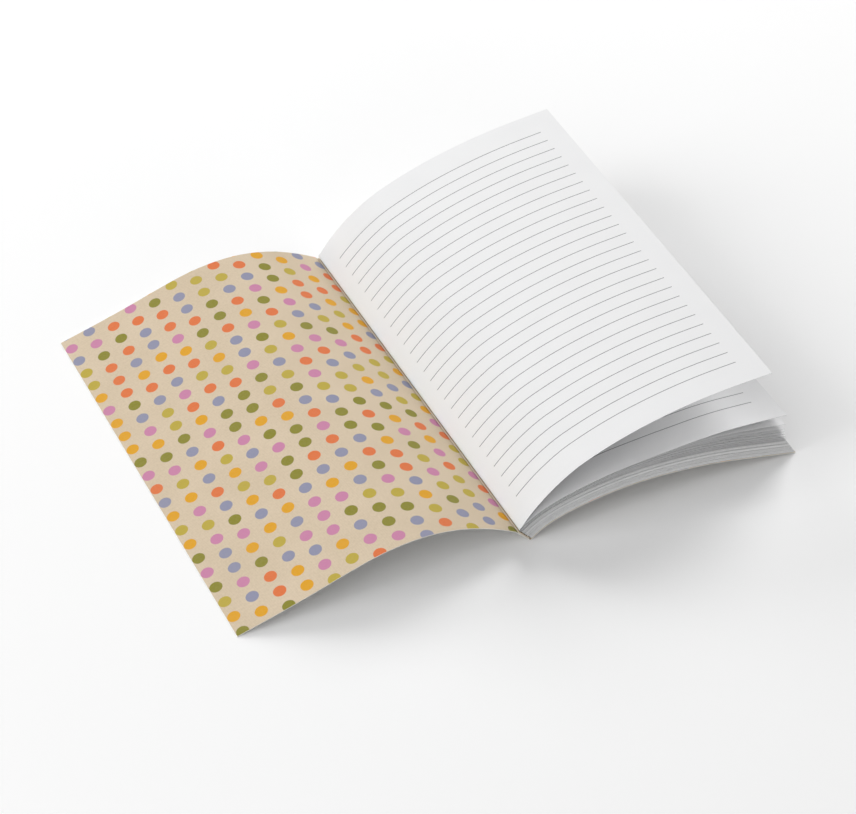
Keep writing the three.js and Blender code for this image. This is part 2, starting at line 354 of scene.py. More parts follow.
class Section:
    """The notebook's section: the curves that the stack and the cover follow."""

    def __init__(self) -> None:
        """Rests the stack and the cover on the table, and puts the origin between their edges."""
        level = ArcCurve(STACK_ARCS)
        under = STOCK.back_card - STOCK.card / 2
        inner = level.at(-STOCK.spine_card + STOCK.score_gap / 2, under)[0]
        outer = level.at(self.reach(level, STOCK.back_card), under)[0]
        tilt = -math.atan2(outer[1] - inner[1], outer[0] - inner[0])
        drop = inner[0] * math.sin(tilt) + inner[1] * math.cos(tilt)
        self.tilt = tilt
        self.stack = ArcCurve(STACK_ARCS, tilt, (0.0, -drop))
        self.score = self.stack.at(-STOCK.spine_card, STOCK.front_score)[0]
        flat = ArcCurve(COVER_ARCS)
        edge = flat.at(TRIM.width, -STOCK.card / 2)[0]
        rise = math.asin(-self.score[1] / math.hypot(*edge)) - math.atan2(edge[1], edge[0])
        self.cover = ArcCurve(COVER_ARCS, rise)
        fore = self.stack.at(self.reach(self.stack, STOCK.back_card), STOCK.back_card)[0][0]
        self.centre = (fore + self.score[0] - self.cover.at(TRIM.width)[0][0]) / 2

    def reach(
        self,
        curve: ArcCurve,
        height: float | Callable[[np.ndarray], np.ndarray],
        beyond: float = 20.0,
        step: float = 1.0,
    ) -> float:
        """The distance along a curve at which a line at a height has the trimmed width.

        Args:
            curve: The curve that the line follows.
            height: The line's height, or its height as a function of the distance.
            beyond: How far past the page width the line is followed.
            step: The distance between the points at which its length is taken.

        Returns:
            The distance along the curve.
        """
        s = np.arange(0.0, TRIM.width + beyond, step)
        h = height(s) if callable(height) else height
        return float(np.interp(TRIM.width, own_length(curve.at(s, h)), s))

    def placed(self, points: np.ndarray) -> np.ndarray:
        """Points of the section in the part's own frame."""
        return points - np.array([self.centre, 0.0])

    def in_stack(self, s: np.ndarray | float, h: np.ndarray | float) -> np.ndarray:
        """The points of the stack at distances s and heights h, in the part's own frame."""
        return self.placed(self.stack.at(s, h))

    def root_height(self, leaf: int) -> float:
        """Height of a leaf of the first section at its root.

        Args:
            leaf: The number of the leaf, 1 on top.

        Returns:
            The height in the stack.
        """
        half = STOCK.leaves // 2
        middle = STOCK.half_thread + STOCK.leaf / 2
        if leaf <= half:
            return STOCK.first_middle + middle + (half - leaf) * STOCK.pitch
        return STOCK.first_middle - middle - (leaf - half - 1) * STOCK.pitch

    def leaf_height(self, leaf: int) -> Callable[[np.ndarray], np.ndarray]:
        """Height of a leaf of the first section, as a function of the distance from the spine.

        The leaves under the standing ones cling together in pairs.

        Args:
            leaf: The number of the leaf, 1 on top.

        Returns:
            The function, which takes and gives arrays.
        """
        if leaf > OPENING.standing_leaves:
            upper = leaf - (leaf + 1) % 2
            share = (STOCK.leaves - upper) / (OPENING.airy_leaves - 1)
            rise = OPENING.air_rise * share * share
        else:
            rise = OPENING.air_rise + (OPENING.standing_leaves + 1 - leaf) * OPENING.standing_step
        width_share = OPENING.first_air_run if leaf == 1 else OPENING.air_run
        root, run = self.root_height(leaf), width_share * TRIM.width
        return lambda s: root + rise * smooth((s - STOCK.fold) / run)

    def leaf_line(
        self, leaf: int, step: float = 0.8, fine_step: float = 0.25, fine_run: float = 8.0
    ) -> SheetLine:
        """The middle line of a leaf of the first section, from its fold to the fore edge.

        Args:
            leaf: The number of the leaf, 1 on top.
            step: The distance between its points.
            fine_step: The distance between them in the gutter.
            fine_run: How far the gutter goes.

        Returns:
            The line, bent up softly where the leaf stands up.
        """
        height = self.leaf_height(leaf)
        end = self.reach(self.stack, height)
        past = STOCK.fold + fine_run
        fine = np.arange(STOCK.fold, past, fine_step)
        stations = np.concatenate([fine, even_steps(past, end, step)])
        points = self.stack.at(stations, height(stations))
        parts = np.diff(points, axis=0)
        middles = (stations[1:] + stations[:-1]) / 2
        turn = np.zeros(len(parts))
        for bend in BENDS.get(leaf, ()):
            turn += math.radians(bend.angle) * smooth((middles - bend.line) / bend.width + 0.5)
        c, s = np.cos(turn), np.sin(turn)
        across, up = parts[:, 0], parts[:, 1]
        turned = np.stack([across * c - up * s, across * s + up * c], axis=-1)
        bent = points[0] + np.concatenate([[[0.0, 0.0]], np.cumsum(turned, axis=0)])
        return SheetLine(self.placed(bent), stations, own_length(points))

    def fold_arc(self, radius: float, middle: float, s: float, steps: int = 12) -> np.ndarray:
        """The half circle of a fold, from the lower leaf round to the upper one.

        Args:
            radius: The radius of the fold.
            middle: The height of its centre in the stack.
            s: The distance of its centre along the stack.
            steps: The number of steps round it.

        Returns:
            The points between its two ends.
        """
        centre = self.stack.at(s, middle)[0]
        angles = self.tilt + math.pi * (1 - np.arange(1, steps) / steps)
        ring = np.stack([-np.sin(angles), np.cos(angles)], axis=-1)
        return self.placed(centre + radius * ring)

    def cover_line(self, step: float = 0.8) -> SheetLine:
        """The middle line of the open front cover, from its score to the outer edge.

        Args:
            step: The distance between its points.

        Returns:
            The line, with its distances from the score as stations.
        """
        stations = even_steps(0.0, TRIM.width, step)
        q = self.cover.at(stations)
        points = np.stack([self.score[0] - q[:, 0], self.score[1] + q[:, 1]], axis=-1)
        return SheetLine(self.placed(points), stations, stations)


# Meshes.


def in_scene(name: str, data: bpy.types.ID) -> Object:
    """Makes an object in the scene.

    Args:
        name: The object's name.
        data: Its mesh, light or camera.

    Returns:
        The object, at the origin.
    """
    made = bpy.data.objects.new(name, data)
    bpy.context.scene.collection.objects.link(made)
    return made


class Face(Enum):
    """The sides of a sheet, by their material slot."""

    OUTER = 0
    INNER = 1
    EDGE = 2


@dataclass
class Sheet:
    """A thin sheet: a middle line in section, run from foot to head."""

    name: str
    line: SheetLine
    thickness: float
    rows: int = 1
    lift: Lift | None = None

    def build(self, materials: Sequence[Material]) -> Object:
        """Makes the closed mesh of the sheet.

        Args:
            materials: The materials of its outer face, its inner face and its cut edges.

        Returns:
            The new object, at the origin, in metres.
        """
        middle = self.line.points
        n, m = len(middle), self.rows + 1
        normal = unit_normals(middle)
        y = np.linspace(-TRIM.height / 2, TRIM.height / 2, m)
        sides = []
        for sign in (1, -1):
            side = middle + normal * sign * self.thickness / 2
            grid = np.empty((n, m, 3))
            grid[:, :, 0] = side[:, None, 0]
            grid[:, :, 1] = y[None, :]
            grid[:, :, 2] = side[:, None, 1]
            if self.lift:
                grid[:, :, 2] += self.lift(self.line.paper[:, None], y[None, :])
            sides.append(grid.reshape(-1, 3))
        vertices = np.concatenate(sides) * MM
        quads, slots = self.faces(n, m)
        mesh = bpy.data.meshes.new(self.name)
        mesh.from_pydata(vertices.tolist(), [], quads.tolist())
        for material in materials:
            mesh.materials.append(material)
        mesh.polygons.foreach_set("material_index", slots.astype(np.int32))
        mesh.polygons.foreach_set("use_smooth", slots != Face.EDGE.value)
        uv = mesh.uv_layers.new(name=PAGE_MAP)
        place = np.stack([np.repeat(self.line.paper, m), np.tile(y, n)], axis=-1) * MM
        place = np.concatenate([place, place])
        loops = np.empty(len(mesh.loops), np.int32)
        mesh.loops.foreach_get("vertex_index", loops)
        uv.data.foreach_set("uv", place[loops].astype(np.float32).ravel())
        mesh.update()
        mesh.validate()
        return in_scene(self.name, mesh)

    def faces(self, n: int, m: int) -> tuple[np.ndarray, np.ndarray]:
        """The faces of the sheet, all quads.

        Args:
            n: The number of points along the line.
            m: The number of points from foot to head.

        Returns:
            The corners of each quad, and its material slot.
        """
        index = np.arange(n * m).reshape(n, m)
        a, b, c, d = index[:-1, :-1], index[1:, :-1], index[1:, 1:], index[:-1, 1:]
        outer = np.stack([a, b, c, d], axis=-1).reshape(-1, 4)
        inner = outer[:, ::-1] + n * m
        rims = []
        for rim in (index[:, 0][::-1], index[-1, :][::-1], index[:, -1], index[0, :]):
            rims.append(np.stack([rim[:-1], rim[1:], rim[1:] + n * m, rim[:-1] + n * m], axis=-1))
        rim = np.concatenate(rims)
        quads = np.concatenate([outer, inner, rim])
        counts = [len(outer), len(inner), len(rim)]
        return quads, np.repeat([face.value for face in Face], counts)


def cut_sharp(piece: Object) -> None:
    """Keeps the cut edges of a sheet crisp beside its smooth faces."""
    piece.data.set_sharp_from_angle(angle=math.radians(SHARP_ANGLE))


class Joints:
    """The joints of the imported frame, by name."""

    def __init__(self, frame: dict) -> None:
        """Reads each joint's two bodies from the frame."""
        self.bodies = {row["name"]: (row["parent"], row["child"]) for row in frame["joints"]}

    def bend(self, piece: Object, name: str, start: np.ndarray, end: np.ndarray) -> None:
        """Bakes a piece's place into its mesh and logs the joint that it lies at.

        Args:
            piece: The finished piece.
            name: The joint.
            start: Where the bend starts, in section, on the side of the parent body. Not used.
            end: Where it ends. Not used.
        """
        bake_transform(piece)
        LOG.info("%s bends at %s", piece.name, name)


# Nodes, and the shader groups that more than one finish uses.


# The sockets of a mix node that take and give colours. Each name is on several sockets.
MIX_FACTOR, MIX_FIRST, MIX_SECOND, MIX_RESULT = 0, 6, 7, 2
# The socket of a random value node that gives a decimal number.
RANDOM_FLOAT = 1


class Nodes:
    """A short way to build a node tree."""

    def __init__(self, tree: NodeTree) -> None:
        """Keeps the tree that the nodes go into."""
        self.tree = tree

    def add(
        self, kind: str, inputs: dict[str | int, object] | None = None, **settings: object
    ) -> Node:
        """Adds a node.

        Args:
            kind: The kind of node.
            inputs: A socket or a constant for each of its inputs, by name or number.
            settings: The node's own settings.

        Returns:
            The node.
        """
        node = self.tree.nodes.new(kind)
        for name, value in settings.items():
            setattr(node, name, value)
        for key, value in (inputs or {}).items():
            if isinstance(value, NodeSocket):
                self.link(value, node.inputs[key])
            else:
                node.inputs[key].default_value = value
        return node

    def link(self, source: NodeSocket, target: NodeSocket) -> None:
        """Joins two sockets."""
        self.tree.links.new(source, target)

    def math(self, operation: str, *values: object, clamp: bool = False) -> NodeSocket:
        """The result of a sum on sockets or numbers, held between 0 and 1 if asked."""
        given = dict(enumerate(values))
        return self.add("ShaderNodeMath", given, operation=operation, use_clamp=clamp).outputs[0]

    def mix(self, factor: NodeSocket, first: object, second: object) -> NodeSocket:
        """A mix of two colours, sockets or values, by the share of the second one."""
        given = {MIX_FACTOR: factor, MIX_FIRST: first, MIX_SECOND: second}
        return self.add("ShaderNodeMix", given, data_type="RGBA").outputs[MIX_RESULT]

    def split(self, vector: NodeSocket) -> bpy.types.NodeOutputs:
        """The parts of a vector, by axis."""
        return self.add("ShaderNodeSeparateXYZ", {0: vector}).outputs

    def along_y(self, value: NodeSocket) -> NodeSocket:
        """A vector along Y."""
        return self.add("ShaderNodeCombineXYZ", {"Y": value}).outputs[0]

    def noise(
        self,
        place: NodeSocket,
        scale: object,
        detail: float = 2.0,
        roughness: float = 0.5,
    ) -> NodeSocket:
        """Soft noise at a place, with its scale per metre."""
        given = {"Vector": place, "Scale": scale, "Detail": detail, "Roughness": roughness}
        return self.add("ShaderNodeTexNoise", given).outputs["Fac"]

    def page(self) -> NodeSocket:
        """The place on a sheet's own map, in metres."""
        return self.add("ShaderNodeUVMap", uv_map=PAGE_MAP).outputs["UV"]

    def room(self) -> NodeSocket:
        """The place in Object coordinates, in metres."""
        return self.add("ShaderNodeTexCoord").outputs["Object"]


def shader_group(
    name: str, inputs: dict[str, float]
) -> tuple[NodeTree, Nodes, bpy.types.NodeOutputs, bpy.types.NodeInputs]:
    """Starts a shader node group that gives a height and a tint for a place.

    Args:
        name: The name of the group.
        inputs: Its inputs beside the place, with their default values.

    Returns:
        The group, the builder of its nodes, and its input and output sockets by name.
    """
    tree = bpy.data.node_groups.new(name, "ShaderNodeTree")
    tree.interface.new_socket("Vector", in_out="INPUT", socket_type="NodeSocketVector")
    for label, value in inputs.items():
        socket = tree.interface.new_socket(label, in_out="INPUT", socket_type="NodeSocketFloat")
        socket.default_value = value
    for label in ("Height", "Tint"):
        tree.interface.new_socket(label, in_out="OUTPUT", socket_type="NodeSocketFloat")
    nodes = Nodes(tree)
    start, end = nodes.add("NodeGroupInput"), nodes.add("NodeGroupOutput")
    return tree, nodes, start.outputs, end.inputs


def fibre_group() -> NodeTree:
    """Paper or card fibres: soft noise of a given scale, and broader noise in the tint.

    Returns:
        The group, which takes a place and a scale per metre.
    """
    tree, nodes, given, result = shader_group("paper_fibre", {"Scale": 900.0})
    broader, fine_share = 0.04, 0.6
    fine = nodes.noise(given["Vector"], given["Scale"], detail=4.0, roughness=0.6)
    broad = nodes.noise(given["Vector"], nodes.math("MULTIPLY", given["Scale"], broader))
    nodes.link(fine, result["Height"])
    shares = nodes.math("MULTIPLY", fine, fine_share), nodes.math("MULTIPLY", broad, 1 - fine_share)
    nodes.link(nodes.math("ADD", *shares), result["Tint"])
    return tree


def weave_group() -> NodeTree:
    """A plain weave: threads that cross over and under.

    Returns:
        The group, which takes a place and the threads' pitch in metres.
    """
    tree, nodes, given, result = shader_group("plain_weave", {"Pitch": 0.5 * MM})
    place = nodes.split(given["Vector"])
    waves = []
    for axis in ("X", "Y"):
        turn = nodes.math("MULTIPLY", nodes.math("DIVIDE", place[axis], given["Pitch"]), math.pi)
        waves.append(nodes.math("SINE", turn))
    over = nodes.math("MULTIPLY", *waves)
    nodes.link(nodes.math("ABSOLUTE", over), result["Height"])
    nodes.link(nodes.math("MULTIPLY_ADD", over, 0.5, 0.5), result["Tint"])
    return tree


def place_group(
    tree: NodeTree, nodes: Nodes, vector: NodeSocket, **values: float
) -> bpy.types.NodeOutputs:
    """Places a shader group in a material.

    Args:
        tree: The group.
        nodes: The builder of the material's nodes.
        vector: The socket that gives the place on the surface.
        values: The group's own values, by input name.

    Returns:
        The group's outputs, by name.
    """
    return nodes.add("ShaderNodeGroup", {"Vector": vector, **values}, node_tree=tree).outputs


# Finishes.


Colour = tuple[float, float, float, float]


def paint(red: int, green: int, blue: int) -> Colour:
    """Turns a colour into the linear light that shaders work in.

    Args:
        red: The colour's red, from 0 to 255.
        green: Its green.
        blue: Its blue.

    Returns:
        The colour, fully opaque.
    """
    shares = [value / 255 for value in (red, green, blue)]
    linear = [((v + 0.055) / 1.055) ** 2.4 if v > 0.0404 else v / 12.92 for v in shares]
    return (*linear, 1.0)


def new_material(name: str, roughness: float) -> tuple[Material, Nodes, Node]:
    """Starts a material.

    Args:
        name: The material's name.
        roughness: The roughness of its shader, from 0 to 1.

    Returns:
        The material, the builder of its nodes and its shader's node.
    """
    material = bpy.data.materials.new(name)
    material.use_nodes = True
    material.node_tree.nodes.clear()
    nodes = Nodes(material.node_tree)
    given = {"Roughness": roughness, "Specular IOR Level": 0.25}
    shader = nodes.add("ShaderNodeBsdfPrincipled", given)
    nodes.add("ShaderNodeOutputMaterial", {"Surface": shader.outputs["BSDF"]})
    return material, nodes, shader


def dress(
    nodes: Nodes,
    shader: Node,
    colour: NodeSocket,
    height: NodeSocket,
    depth: float,
    strength: float,
) -> None:
    """Gives a shader its colour and its relief.

    Args:
        nodes: The builder of the material's nodes.
        shader: The shader's node.
        colour: The socket of the colour.
        height: The socket of the relief's height, from 0 to 1.
        depth: The depth of the relief in millimetres.
        strength: How strongly the relief shows.
    """
    nodes.link(colour, shader.inputs["Base Color"])
    given = {"Distance": depth * MM, "Strength": strength, "Height": height}
    relief = nodes.add("ShaderNodeBump", given)
    nodes.link(relief.outputs["Normal"], shader.inputs["Normal"])


@dataclass(frozen=True)
class Paper:
    """Uncoated writing paper with printed rules and painted shade along the gutter. Lengths are
    millimetres on the page's map.
    """

    name: str = "ruled_paper"
    colour: Colour = paint(246, 246, 246)
    shade: Colour = paint(236, 236, 237)
    # Painted shade: a cooler, darker tone along the gutter that fades out over the band's width.
    gutter: Colour = paint(233, 235, 237)
    painted_shade_width: float = 14.0
    ink: Colour = paint(88, 90, 95)
    ink_cover: float = 0.9
    first: float = 90.8
    pitch: float = 7.017
    count: int = 27
    left: float = 7.4
    right: float = 121.5
    weight: float = 0.34

    def material(self, fibre: NodeTree) -> Material:
        """Builds the paper from its fibre group, with painted shade near the gutter and the rules
        laid out on the page's map.

        Args:
            fibre: The group that draws the fibres.

        Returns:
            The material.
        """
        material, nodes, shader = new_material(self.name, roughness=0.92)
        place = nodes.page()
        grain = place_group(fibre, nodes, place, Scale=1400.0)
        colour = nodes.mix(grain["Tint"], self.shade, self.colour)
        # Painted shade: close to the gutter the page takes the darker gutter tone.
        given = {"From Max": self.painted_shade_width * MM, "Value": nodes.split(place)["X"]}
        clear_of_painted_shade = nodes.add("ShaderNodeMapRange", given, interpolation_type="SMOOTHSTEP")
        colour = nodes.mix(clear_of_painted_shade.outputs["Result"], self.gutter, colour)
        colour = nodes.mix(self.rules(nodes, place), colour, self.ink)
        dress(nodes, shader, colour, grain["Height"], depth=0.02, strength=0.35)
        return material

    def rules(self, nodes: Nodes, place: NodeSocket) -> NodeSocket:
        """The mask of the rules: thin lines at an even pitch that stop short of the edges.

        Args:
            nodes: The builder of the material's nodes.
            place: The socket that gives the place on the page.

        Returns:
            The socket of the mask.
        """
        page, do = nodes.split(place), nodes.math
        row = do("DIVIDE", do("SUBTRACT", self.first * MM, page["Y"]), self.pitch * MM)
        nearest = do("ROUND", row)
        away = do("MULTIPLY", do("ABSOLUTE", do("SUBTRACT", row, nearest)), self.pitch)
        line = do("LESS_THAN", away, self.weight / 2)
        for test, limit, socket in (
            ("GREATER_THAN", -0.5, nearest),
            ("LESS_THAN", self.count - 0.5, nearest),
            ("GREATER_THAN", self.left * MM, page["X"]),
            ("LESS_THAN", self.right * MM, page["X"]),
        ):
            line = do("MULTIPLY", line, do(test, socket, limit))
        return do("MULTIPLY", line, self.ink_cover)


@dataclass(frozen=True)
class PageEdge:
    """The cut edges of the leaves, most of them light, the dark ones painted shade.

    A random value per leaf darkens a few edges of the lower sections: partly a random tone, partly
    painted shade of the gaps between leaves. The first section has none, so the edges of its leaves
    are all dark and show as single lines, painted shade between the leaves.
    """

    name: str = "page_edge"
    light: Colour = paint(250, 250, 250)
    # Painted shade: the dark edge tone stands for the shade in the gaps between leaves.
    dark: Colour = paint(150, 150, 150)
    rarity: float = 0.35
    leaf_share: float = 0.85

    def material(self) -> Material:
        """Builds the edges from each leaf's random value, the dark edges being painted shade.

        Returns:
            The material.
        """
        material, nodes, shader = new_material(self.name, roughness=0.95)
        # Painted shade: where a leaf's random value is low, or missing as in the first section, its
        # edge is dark.
        shade = nodes.add("ShaderNodeAttribute", attribute_name=LEAF_TONE_AND_PAINTED_SHADE).outputs["Fac"]
        grain = nodes.noise(nodes.room(), scale=700.0)
        leaf = nodes.math("MULTIPLY", nodes.math("POWER", shade, self.rarity), self.leaf_share)
        both = nodes.math("ADD", leaf, nodes.math("MULTIPLY", grain, 1 - self.leaf_share))
        colour = nodes.mix(both, self.dark, self.light)
        dress(nodes, shader, colour, grain, depth=0.02, strength=0.4)
        return material


class Side(Enum):
    """The two faces of the cover card."""

    INSIDE = "inside"
    OUTSIDE = "outside"


DOT_COLOURS = (
    paint(226, 164, 40),
    paint(140, 136, 52),
    paint(226, 120, 70),
    paint(190, 170, 70),
    paint(204, 134, 170),
    paint(146, 148, 172),
)


@dataclass(frozen=True)
class Card:
    """Uncoated cover card, with a generic print of round dots in half-drop columns inside."""

    name: str = "printed_card_inside"
    side: Side = Side.INSIDE
    ground: Colour = paint(225, 207, 182)
    fleck: Colour = paint(205, 187, 160)
    contrast: float = 2.8
    fibre_share: float = 0.7
    column: float = 10.8
    row: float = 9.6
    dot: float = 5.9
    ragged: float = 0.5
    offset: tuple[float, float] = (4.6, 3.1)

    def material(self, fibre: NodeTree, weave: NodeTree) -> Material:
        """Builds the card from its fibre and weave groups, with the dots on its inside face.

        Args:
            fibre: The group that draws the fibres.
            weave: The group that draws the weave.

        Returns:
            The material.
        """
        material, nodes, shader = new_material(self.name, roughness=0.86)
        place, do = nodes.page(), nodes.math
        grain = place_group(fibre, nodes, place, Scale=900.0)
        cloth = place_group(weave, nodes, place, Pitch=0.45 * MM)
        fibres = do("MULTIPLY", grain["Tint"], self.fibre_share)
        mottle = do("ADD", fibres, do("MULTIPLY", cloth["Tint"], 1 - self.fibre_share))
        middle = 0.5 - self.contrast / 2
        mottle = do("MULTIPLY_ADD", mottle, self.contrast, middle, clamp=True)
        colour = nodes.mix(mottle, self.fleck, self.ground)
        if self.side is Side.INSIDE:
            mask, ink = self.dots(nodes, place, grain["Tint"])
            colour = nodes.mix(mask, colour, ink)
        height = do("ADD", grain["Height"], do("MULTIPLY", cloth["Height"], 0.5))
        dress(nodes, shader, colour, height, depth=0.04, strength=0.5)
        return material

    def dots(
        self, nodes: Nodes, place: NodeSocket, grain: NodeSocket
    ) -> tuple[NodeSocket, NodeSocket]:
        """The dots: every second column drops by half a row.

        Args:
            nodes: The builder of the material's nodes.
            place: The socket that gives the place on the card.
            grain: The fibre's tint, which frays the dots' edges and thins the ink.

        Returns:
            The sockets of the dots' mask and of their colour.
        """
        page, do = nodes.split(place), nodes.math
        sharpness, thinnest, grain_cover = 6.0, 0.82, 0.3
        across = do("ADD", page["X"], self.offset[0] * MM)
        across = do("DIVIDE", across, self.column * MM)
        column = do("FLOOR", across)
        drop = do("MULTIPLY", do("FLOORED_MODULO", column, 2.0), 0.5)
        along = do("ADD", page["Y"], self.offset[1] * MM)
        along = do("ADD", do("DIVIDE", along, self.row * MM), drop)
        row = do("FLOOR", along)
        x = do("MULTIPLY", do("SUBTRACT", do("FRACT", across), 0.5), self.column)
        y = do("MULTIPLY", do("SUBTRACT", do("FRACT", along), 0.5), self.row)
        away = do("SQRT", do("ADD", do("MULTIPLY", x, x), do("MULTIPLY", y, y)))
        rough = do("MULTIPLY_ADD", grain, self.ragged, (self.dot - self.ragged) / 2)
        inside = do("MULTIPLY", do("SUBTRACT", rough, away), sharpness, clamp=True)
        cover = do("MULTIPLY_ADD", grain, grain_cover, thinnest, clamp=True)
        cell = nodes.add("ShaderNodeCombineXYZ", {"X": column, "Y": row})
        given = {"Vector": cell.outputs[0]}
        chance = nodes.add("ShaderNodeTexWhiteNoise", given, noise_dimensions="2D")
        ramp = nodes.add("ShaderNodeValToRGB", {"Fac": chance.outputs["Value"]})
        ramp.color_ramp.interpolation = "CONSTANT"
        stops = ramp.color_ramp.elements
        while len(stops) < len(DOT_COLOURS):
            stops.new(1.0)
        for number, (stop, colour) in enumerate(zip(stops, DOT_COLOURS)):
            stop.position = number / len(DOT_COLOURS)
            stop.color = colour
        return do("MULTIPLY", inside, cover), ramp.outputs["Color"]


@dataclass(frozen=True)
class Plain:
    """A plain finish with fibres in Object coordinates: card core, glue or thread."""

    name: str
    light: Colour
    dark: Colour
    roughness: float
    scale: float = 900.0
    depth: float = 0.03

    def material(self, fibre: NodeTree) -> Material:
        """Builds the finish from its fibre group.

        Args:
            fibre: The group that draws the fibres.

        Returns:
            The material.
        """
        material, nodes, shader = new_material(self.name, self.roughness)
        grain = place_group(fibre, nodes, nodes.room(), Scale=self.scale)
        colour = nodes.mix(grain["Tint"], self.dark, self.light)
        dress(nodes, shader, colour, grain["Height"], self.depth, strength=0.6)
        return material


@dataclass(frozen=True)
class Cloth:
    """Crash cloth: an open, starched plain weave."""

    name: str = "crash_cloth"
    light: Colour = paint(244, 242, 235)
    dark: Colour = paint(206, 202, 190)
    pitch: float = 0.8
    turn: float = 45.0

    def material(self, weave: NodeTree) -> Material:
        """Builds the cloth from its weave group, turned to lie along the spine.

        Args:
            weave: The group that draws the weave.

        Returns:
            The material.
        """
        material, nodes, shader = new_material(self.name, roughness=0.97)
        shader.inputs["Sheen Weight"].default_value = 0.2
        given = {"Rotation": (0.0, math.radians(self.turn), 0.0), "Vector": nodes.room()}
        turned = nodes.add("ShaderNodeMapping", given).outputs["Vector"]
        cloth = place_group(weave, nodes, turned, Pitch=self.pitch * MM)
        colour = nodes.mix(cloth["Height"], self.dark, self.light)
        dress(nodes, shader, colour, cloth["Height"], depth=0.12, strength=1.0)
        return material


CARD_OUTSIDE = Card("card_outside", Side.OUTSIDE, paint(240, 239, 236), paint(228, 226, 221))
CARD_CORE = Plain("card_core", paint(246, 244, 238), paint(226, 222, 212), 0.95)
GLUE = Plain("spine_glue", paint(222, 204, 178), paint(204, 186, 158), 0.4, 500.0, 0.08)
THREAD = Plain("sewing_thread", paint(248, 246, 240), paint(210, 206, 196), 0.8, 2600.0, 0.05)


class Finishes:
    """All the notebook's materials, built once."""

    def __init__(self) -> None:
        """Builds the shared groups and every material."""
        fibre, weave = fibre_group(), weave_group()
        self.paper = Paper().material(fibre)
        self.page_edge = PageEdge().material()
        self.card_inside = Card().material(fibre, weave)
        self.card_outside = CARD_OUTSIDE.material(fibre, weave)
        self.card_core = CARD_CORE.material(fibre)
        self.glue = GLUE.material(fibre)
        self.thread = THREAD.material(fibre)
        self.cloth = Cloth().material(weave)


# Geometry Nodes trees for what repeats.


class Tree:
    """A Geometry Nodes tree with named inputs, run on a mesh and then taken off it."""

    def __init__(self, name: str, inputs: dict[str, tuple[str, object]]) -> None:
        """Starts the tree.

        Args:
            name: The name of the tree.
            inputs: Its inputs by name, each a kind of socket and a default value.
        """
        self.tree = bpy.data.node_groups.new(name, "GeometryNodeTree")
        for way in ("INPUT", "OUTPUT"):
            kind = "NodeSocketGeometry"
            self.tree.interface.new_socket("Geometry", in_out=way, socket_type=kind)
        for label, (kind, value) in inputs.items():
            socket = self.tree.interface.new_socket(label, in_out="INPUT", socket_type=kind)
            if value is not None:
                socket.default_value = value
        self.nodes = Nodes(self.tree)
        self.given = self.nodes.add("NodeGroupInput").outputs
        self.result = self.nodes.add("NodeGroupOutput").inputs

    def finish(self, geometry: NodeSocket) -> None:
        """Ends the tree: instances are made real and take the material.

        Args:
            geometry: The socket of the geometry that it gives.
        """
        real = self.nodes.add("GeometryNodeRealizeInstances", {0: geometry})
        given = {"Geometry": real.outputs[0], "Material": self.given["Material"]}
        dressed = self.nodes.add("GeometryNodeSetMaterial", given)
        self.nodes.link(dressed.outputs[0], self.result["Geometry"])

    def run(self, base: Object, name: str, **values: object) -> Object:
        """Runs the tree on a base object and keeps the result as a plain mesh.

        Args:
            base: The object that holds the starting mesh. It is removed.
            name: The name of the finished piece.
            values: The values of the tree's inputs.

        Returns:
            The finished piece.
        """
        modifier = base.modifiers.new(self.tree.name, "NODES")
        modifier.node_group = self.tree
        for item in self.tree.interface.items_tree:
            if item.in_out == "INPUT" and item.name in values:
                modifier[item.identifier] = values[item.name]
        graph = bpy.context.evaluated_depsgraph_get()
        mesh = bpy.data.meshes.new_from_object(base.evaluated_get(graph))
        mesh.name = name
        piece = in_scene(name, mesh)
        bpy.data.objects.remove(base)
        return piece


def nested_sheets_tree() -> Tree:
    """Runs the cross-sections of nested sheets from foot to head, each a hair out of line.

    Returns:
        The tree. Its inputs are the height, the stagger and the seed.
    """
    made = Tree(
        "nested_sheets",
        {
            "Height": ("NodeSocketFloat", TRIM.height * MM),
            "Stagger": ("NodeSocketFloat", 0.08 * MM),
            "Seed": ("NodeSocketInt", 1),
            "Material": ("NodeSocketMaterial", None),
        },
    )
    nodes, given = made.nodes, made.given
    island = nodes.add("GeometryNodeInputMeshIsland").outputs["Island Index"]
    draw = nodes.add("FunctionNodeRandomValue", {"ID": island, "Seed": given["Seed"]})
    chance = draw.outputs[RANDOM_FLOAT]
    # Each leaf's random value is kept on it. It darkens some leaf edges, partly as a random tone
    # and partly as painted shade between leaves, and it also staggers the leaves.
    shade = nodes.add(
        "GeometryNodeStoreNamedAttribute",
        {"Geometry": given["Geometry"], "Name": LEAF_TONE_AND_PAINTED_SHADE, "Value": chance},
        data_type="FLOAT",
        domain="POINT",
    ).outputs["Geometry"]
    away = nodes.along_y(nodes.math("MULTIPLY", chance, given["Stagger"]))
    moved = nodes.add("GeometryNodeSetPosition", {"Geometry": shade, "Offset": away}).outputs[0]
    run = {"Individual": False, "Mesh": moved, "Offset": nodes.along_y(given["Height"])}
    solid = nodes.add("GeometryNodeExtrudeMesh", run, mode="FACES")
    foot = nodes.add("GeometryNodeFlipFaces", {"Mesh": moved})
    both = nodes.add("GeometryNodeJoinGeometry")
    for part in (solid, foot):
        nodes.link(part.outputs["Mesh"], both.inputs[0])
    closed = {"Geometry": both.outputs[0], "Distance": WELD_M}
    made.finish(nodes.add("GeometryNodeMergeByDistance", closed).outputs["Geometry"])
    return made


